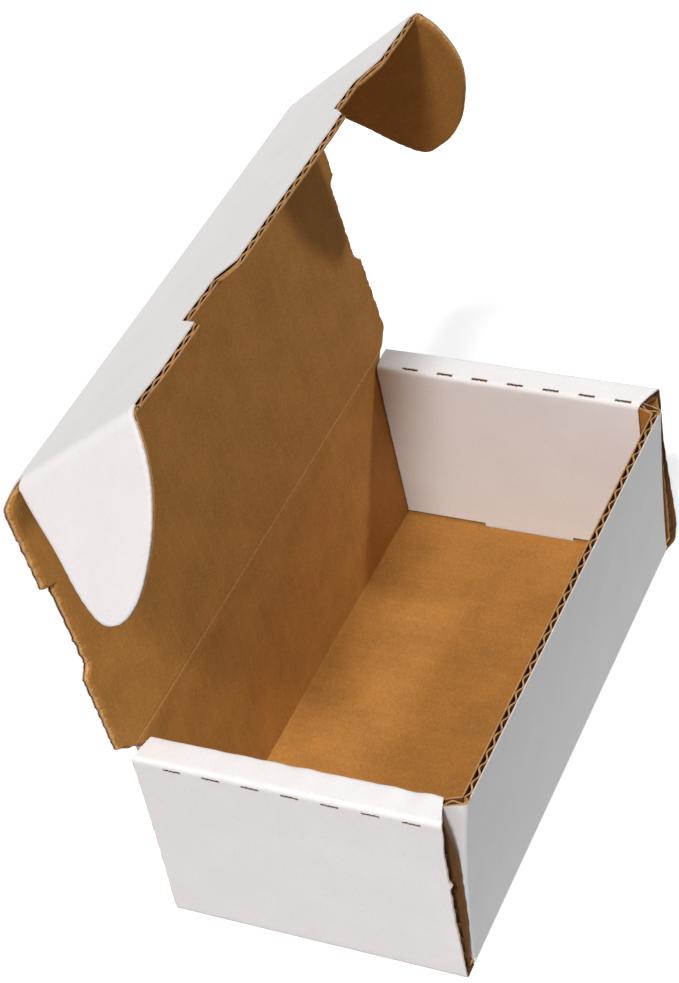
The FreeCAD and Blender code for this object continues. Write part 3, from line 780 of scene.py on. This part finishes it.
def creased(name, origin, line_way, line_stops, limits, way_a, out_a, way_b, flutes_cross=True,
            reach=crease_reach):
    """The crease between two panels: both liners carried round the fold line, turning from one panel's plane
    to the other's by a smooth step over reach each side. The fold line itself is rubbed light inside."""
    angle = math.acos(max(-1.0, min(1.0, way_a.dot(way_b))))
    spin = np.array(way_a.cross(way_b).normalized()[:])
    origin, line_way, way, out = (np.array(item[:]) for item in (origin, line_way, way_a, out_a))

    def put(first, second, h):
        line, crossing = (first, second) if flutes_cross else (second, first)
        share = np.clip((crossing + reach) / (2 * reach), 0, 1)
        turned = (share * share * (3 - 2 * share) * angle)[..., None]
        flat = crossing[..., None] * way + np.asarray(h)[..., None] * out
        swung = flat * np.cos(turned) + np.cross(spin, flat) * np.sin(turned)
        return origin + line[..., None] * line_way + swung
    crossings = np.linspace(-reach, reach, 17)
    low, high = limits(crossings)
    line = edged(line_stops, low, high)
    crossing = np.broadcast_to(crossings, line.shape)
    rim = np.minimum(line - low, high - line)
    dent = 0.00015 * np.exp(-(crossing / 0.0006) ** 2)
    sunk = 0.0003 * (1 - (crossing / reach) ** 2) ** 2
    inner, outer = crush(rim, 0.0011) + dent, crush(rim, 0.0003) + sunk
    grid = (line, crossing) if flutes_cross else (crossing, line)
    rubbed_rim = np.minimum(rim, np.abs(crossing) * 1.7 + 0.0001)
    plies = [(ply(put, *grid, inner, liner + inner, cut=rubbed_rim), (1, 3, 2)),
             (ply(put, *grid, board - liner - outer, board - outer, cut=rim), (3, 0, 0)),
             (ply(put, *grid, liner + 0.0001 + inner, board - liner - 0.0001 - outer), (3, 3, 3))]
    piece = glued(name, plies, None)
    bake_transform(piece)


def lid_root(along):
    """The lid crease's ends: as long as the back wall below the crease and as the lid's root above it."""
    flared = lid_half - (lid_half - root_half) * (flare_end - crease_reach) / (flare_end - root_end)
    reach = np.interp(along, [-crease_reach, -0.0006, 0.0006, crease_reach],
                      [wall_end + 0.0005, wall_end + 0.0020, root_half, flared])
    return -reach, reach


creased("lid_crease", hinge, Vector((1, 0, 0)), stops(-0.104, 0.104, 0.004), lid_root, back_way, back_out,
        lid_way)


# ------------------------------ tuck flap
# The flap at the lid's front edge, which tucks in front of the front wall. Its free edge is raw, cut a little
# aslant so that the brown liner stands past the white one, and has two thumb notches.
flap_way = -Vector(joints["left_ear_hinge"]["axis"])
flap_out = Vector((0, flap_way.z, -flap_way.y))
flap_depth = 0.0627
flap_half, ear_crease = 0.099, 0.0985
ear_slant = math.atan2(0.0025, flap_depth)
ear_reach = 0.0014
notch_depth = 0.0115
notch_stops = [-0.0620, -0.0540, -0.0350, -0.0325, 0.0440, 0.0560, 0.0700, 0.0740]
aslant_stops = [-0.098, -0.065, 0.045, 0.075, 0.098]


def flap_edge(x):
    """The free edge at each x: nearly straight, running a little aslant, with two notches."""
    dip = np.interp(x, notch_stops, [0, 1, 0.8, 0, 0, 1, 0.9, 0])
    short = np.interp(x, aslant_stops, [0.0021, 0.0019, 0.0014, 0.0008, 0.0001])
    return (flap_depth - notch_depth * dip - short - 0.0003 + 0.0002 * ripple(0.02, 51, x)
            + 0.00014 * ripple(0.003, 52, x))


def flap_side(w):
    """Half the flap's width at each distance from the fold: up to the slanted ear creases."""
    return ear_crease - ear_reach / math.cos(ear_slant) + w * math.tan(ear_slant)


def white_edge(x):
    """Where the white liner ends: short of the brown one, more so towards the left."""
    return flap_edge(x) - np.interp(x, aslant_stops, [0.0009, 0.0007, 0.0004, 0.0004, 0.0003])


flap_place = flat_place(fold, Vector((1, 0, 0)), flap_way, flap_out, 0.0002, 3,
                        lambda x, w: np.minimum(w - crease_reach, flap_side(w) - np.abs(x)))
x_stops = stops(-flap_half, flap_half, 0.0014, *notch_stops)
plies = []
for edge_line, low, kinds, press in ((flap_edge, 0, (1, 3, 2), 0.0009),
                                     (white_edge, board - liner, (3, 0, 0), 0)):
    edge = edge_line(x_stops)
    w = edged(stops(crease_reach, flap_depth, 0.004), np.full_like(edge, crease_reach), edge,
              sides=(False, True))
    x = np.clip(np.broadcast_to(x_stops, w.shape), -flap_side(w), flap_side(w))
    pressed = crush(edge - w, press, 0.0022)
    plies.append((ply(flap_place, x, w, low + pressed, low + liner + pressed, cut=edge - w), kinds))
flute_stops = stops(-flap_half, flap_half, 0.0008)
ragged = 0.0002 * ripple(0.004, 53, flute_stops)
edge = (flap_edge(flute_stops) + white_edge(flute_stops)) / 2 - 0.0002 + ragged
w = edged(stops(crease_reach, flap_depth, 0.006), np.full_like(edge, crease_reach), edge, (0, 0.0006, 0.0015),
          (False, True))
x = np.clip(np.broadcast_to(flute_stops, w.shape), -flap_side(w), flap_side(w))
plies.append((fluting(flap_place, x, w, low=liner + crush(edge - w, 0.0006, 0.0022)), (3, 3, 2)))
tuck = glued("tuck_panel", plies, "tuck_flap")
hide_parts("tuck_flap")


def fold_ends(along):
    """The tuck crease's ends, narrowing from the lid's corners to the ear creases."""
    reach = np.interp(along, [-crease_reach, -0.0016, 0.0002, 0.0010, crease_reach],
                      [0.1077, 0.1074, 0.1012, 0.0990, 0.0968])
    return -reach, reach


creased("tuck_crease", fold, Vector((1, 0, 0)), stops(-0.108, 0.108, 0.004), fold_ends, lid_way, lid_out,
        flap_way)


# ------------------------------ ears
# A rounded ear hangs on a slightly slanted crease at each end of the tuck flap and slides into the slot
# beside the dust flaps when the box is shut. Its round edge is pressed thin, and the two differ a little.
tip_zone = 0.008
ear_fold = math.radians(joints["left_ear_hinge"]["range_deg"][1])
ear_outlines = {
    "left_ear": (((0.0, 0.0012), (0.0030, 0.0012), (0.0200, 0.0030), (0.0405, 0.0054), (0.0440, 0.0068),
                  (0.0467, 0.0100), (0.0478, 0.0145)),
                 ((0.0, 0.0604), (0.0095, 0.0578), (0.0189, 0.0532), (0.0269, 0.0475), (0.0330, 0.0418),
                  (0.0379, 0.0361), (0.0430, 0.0292), (0.0461, 0.0231), (0.0476, 0.0179), (0.0478, 0.0145))),
    "right_ear": (((0.0, 0.0030), (0.0060, 0.0052), (0.0200, 0.0078), (0.0405, 0.0098), (0.0440, 0.0106),
                   (0.0470, 0.0126), (0.0480, 0.0168)),
                  ((0.0, 0.0626), (0.0047, 0.0625), (0.0150, 0.0598), (0.0250, 0.0548), (0.0330, 0.0481),
                   (0.0390, 0.0411), (0.0440, 0.0341), (0.0467, 0.0281), (0.0478, 0.0225), (0.0480, 0.0168))),
}


def rounded(points, e):
    """The height at e of a smooth curve through the points, made of cubic pieces that take their slopes from
    the chords between the neighbouring points."""
    points = np.array(points)
    turn = np.cumsum(np.r_[0, np.linalg.norm(np.diff(points, axis=0), axis=1)])
    fine = np.linspace(0, turn[-1], 400)
    slopes = np.gradient(points, turn, axis=0)
    index = np.clip(np.searchsorted(turn, fine, side="right") - 1, 0, len(turn) - 2)
    span = (turn[index + 1] - turn[index])[:, None]
    t = ((fine - turn[index]) / span[:, 0])[:, None]
    line = ((2 * t ** 3 - 3 * t ** 2 + 1) * points[index] + (t ** 3 - 2 * t ** 2 + t) * span * slopes[index]
            + (3 * t ** 2 - 2 * t ** 3) * points[index + 1] + (t ** 3 - t ** 2) * span * slopes[index + 1])
    order = np.argsort(line[:, 0])
    return np.interp(e, line[order, 0], line[order, 1])


def ear_limits(name, e):
    """The ear's edge nearer the lid and its round edge, at each distance from the crease."""
    upper, lower = (rounded(points, e) for points in ear_outlines[name])
    fuzz = 0.00008 * ripple(0.004, 61, e)
    return upper + fuzz, np.maximum(lower + fuzz, upper + fuzz)


for ear_name, sign in (("left_ear", -1), ("right_ear", 1)):
    side = Vector((sign, 0, 0))
    root = fold + ear_crease * side
    crease_way = (math.cos(ear_slant) * flap_way + math.sin(ear_slant) * side).normalized()
    out_to_side = (math.cos(ear_slant) * side - math.sin(ear_slant) * flap_way).normalized()
    ear_way = math.cos(ear_fold) * out_to_side - math.sin(ear_fold) * flap_out
    ear_out = math.cos(ear_fold) * flap_out + math.sin(ear_fold) * out_to_side
    ear_place = flat_place(root, ear_way, crease_way, ear_out, 0.0002, 7 + sign, lambda e, w: e - ear_reach)
    tip = ear_outlines[ear_name][0][-1][0]
    close = tip - tip_zone * (1 - np.cos(np.linspace(0, math.pi / 2, 12)))
    e_stops = np.unique(np.round(np.concatenate([stops(ear_reach, tip - tip_zone, 0.0016), close]), 6))
    upper, lower = ear_limits(ear_name, e_stops)
    w = edged(stops(0, flap_depth + 0.003, 0.002), upper, lower)
    e = np.broadcast_to(e_stops, w.shape)
    rim = np.minimum(np.minimum(w - upper, lower - w), (tip - e) * 3)
    flute_e = stops(ear_reach, tip - 0.0004, 0.0008)
    flute_upper, flute_lower = ear_limits(ear_name, flute_e)
    flute_w = edged(stops(0, flap_depth + 0.003, 0.006), flute_upper + 0.0003,
                    np.maximum(flute_lower - 0.0003, flute_upper + 0.0003), (0, 0.0006, 0.0015))
    flute_rim = np.minimum(np.minimum(flute_w - flute_upper, flute_lower - flute_w), (tip - flute_e) * 3)
    plies = crushed_board(ear_place, e, w, rim, 0.0014, 0.0005,
                          (np.broadcast_to(flute_e, flute_w.shape), flute_w, flute_rim))
    ear = glued(ear_name + "_panel", plies, ear_name)
    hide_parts(ear_name)

    def ear_ends(along, name=ear_name, sign=sign):
        """The ear crease's ends: from the fold's side to the ear's upper edge at one end, from the flap's
        free edge to the ear's round edge at the other."""
        upper, lower = ear_limits(name, np.maximum(along, 0))
        last = float(flap_edge(np.array([sign * ear_crease]))[0]) - 0.0004
        start = np.interp(along, [-0.0010, 0.0006], [crease_reach * math.cos(ear_slant), float(upper[-1])])
        stop = np.interp(along, [-ear_reach, 0.0], [last, float(lower[0])])
        return np.where(along < 0.0006, start, upper), np.where(along < 0, stop, lower)

    creased(ear_name + "_crease", root, crease_way, stops(0, flap_depth + 0.003, 0.003), ear_ends,
            out_to_side, flap_out, ear_way, False, ear_reach)
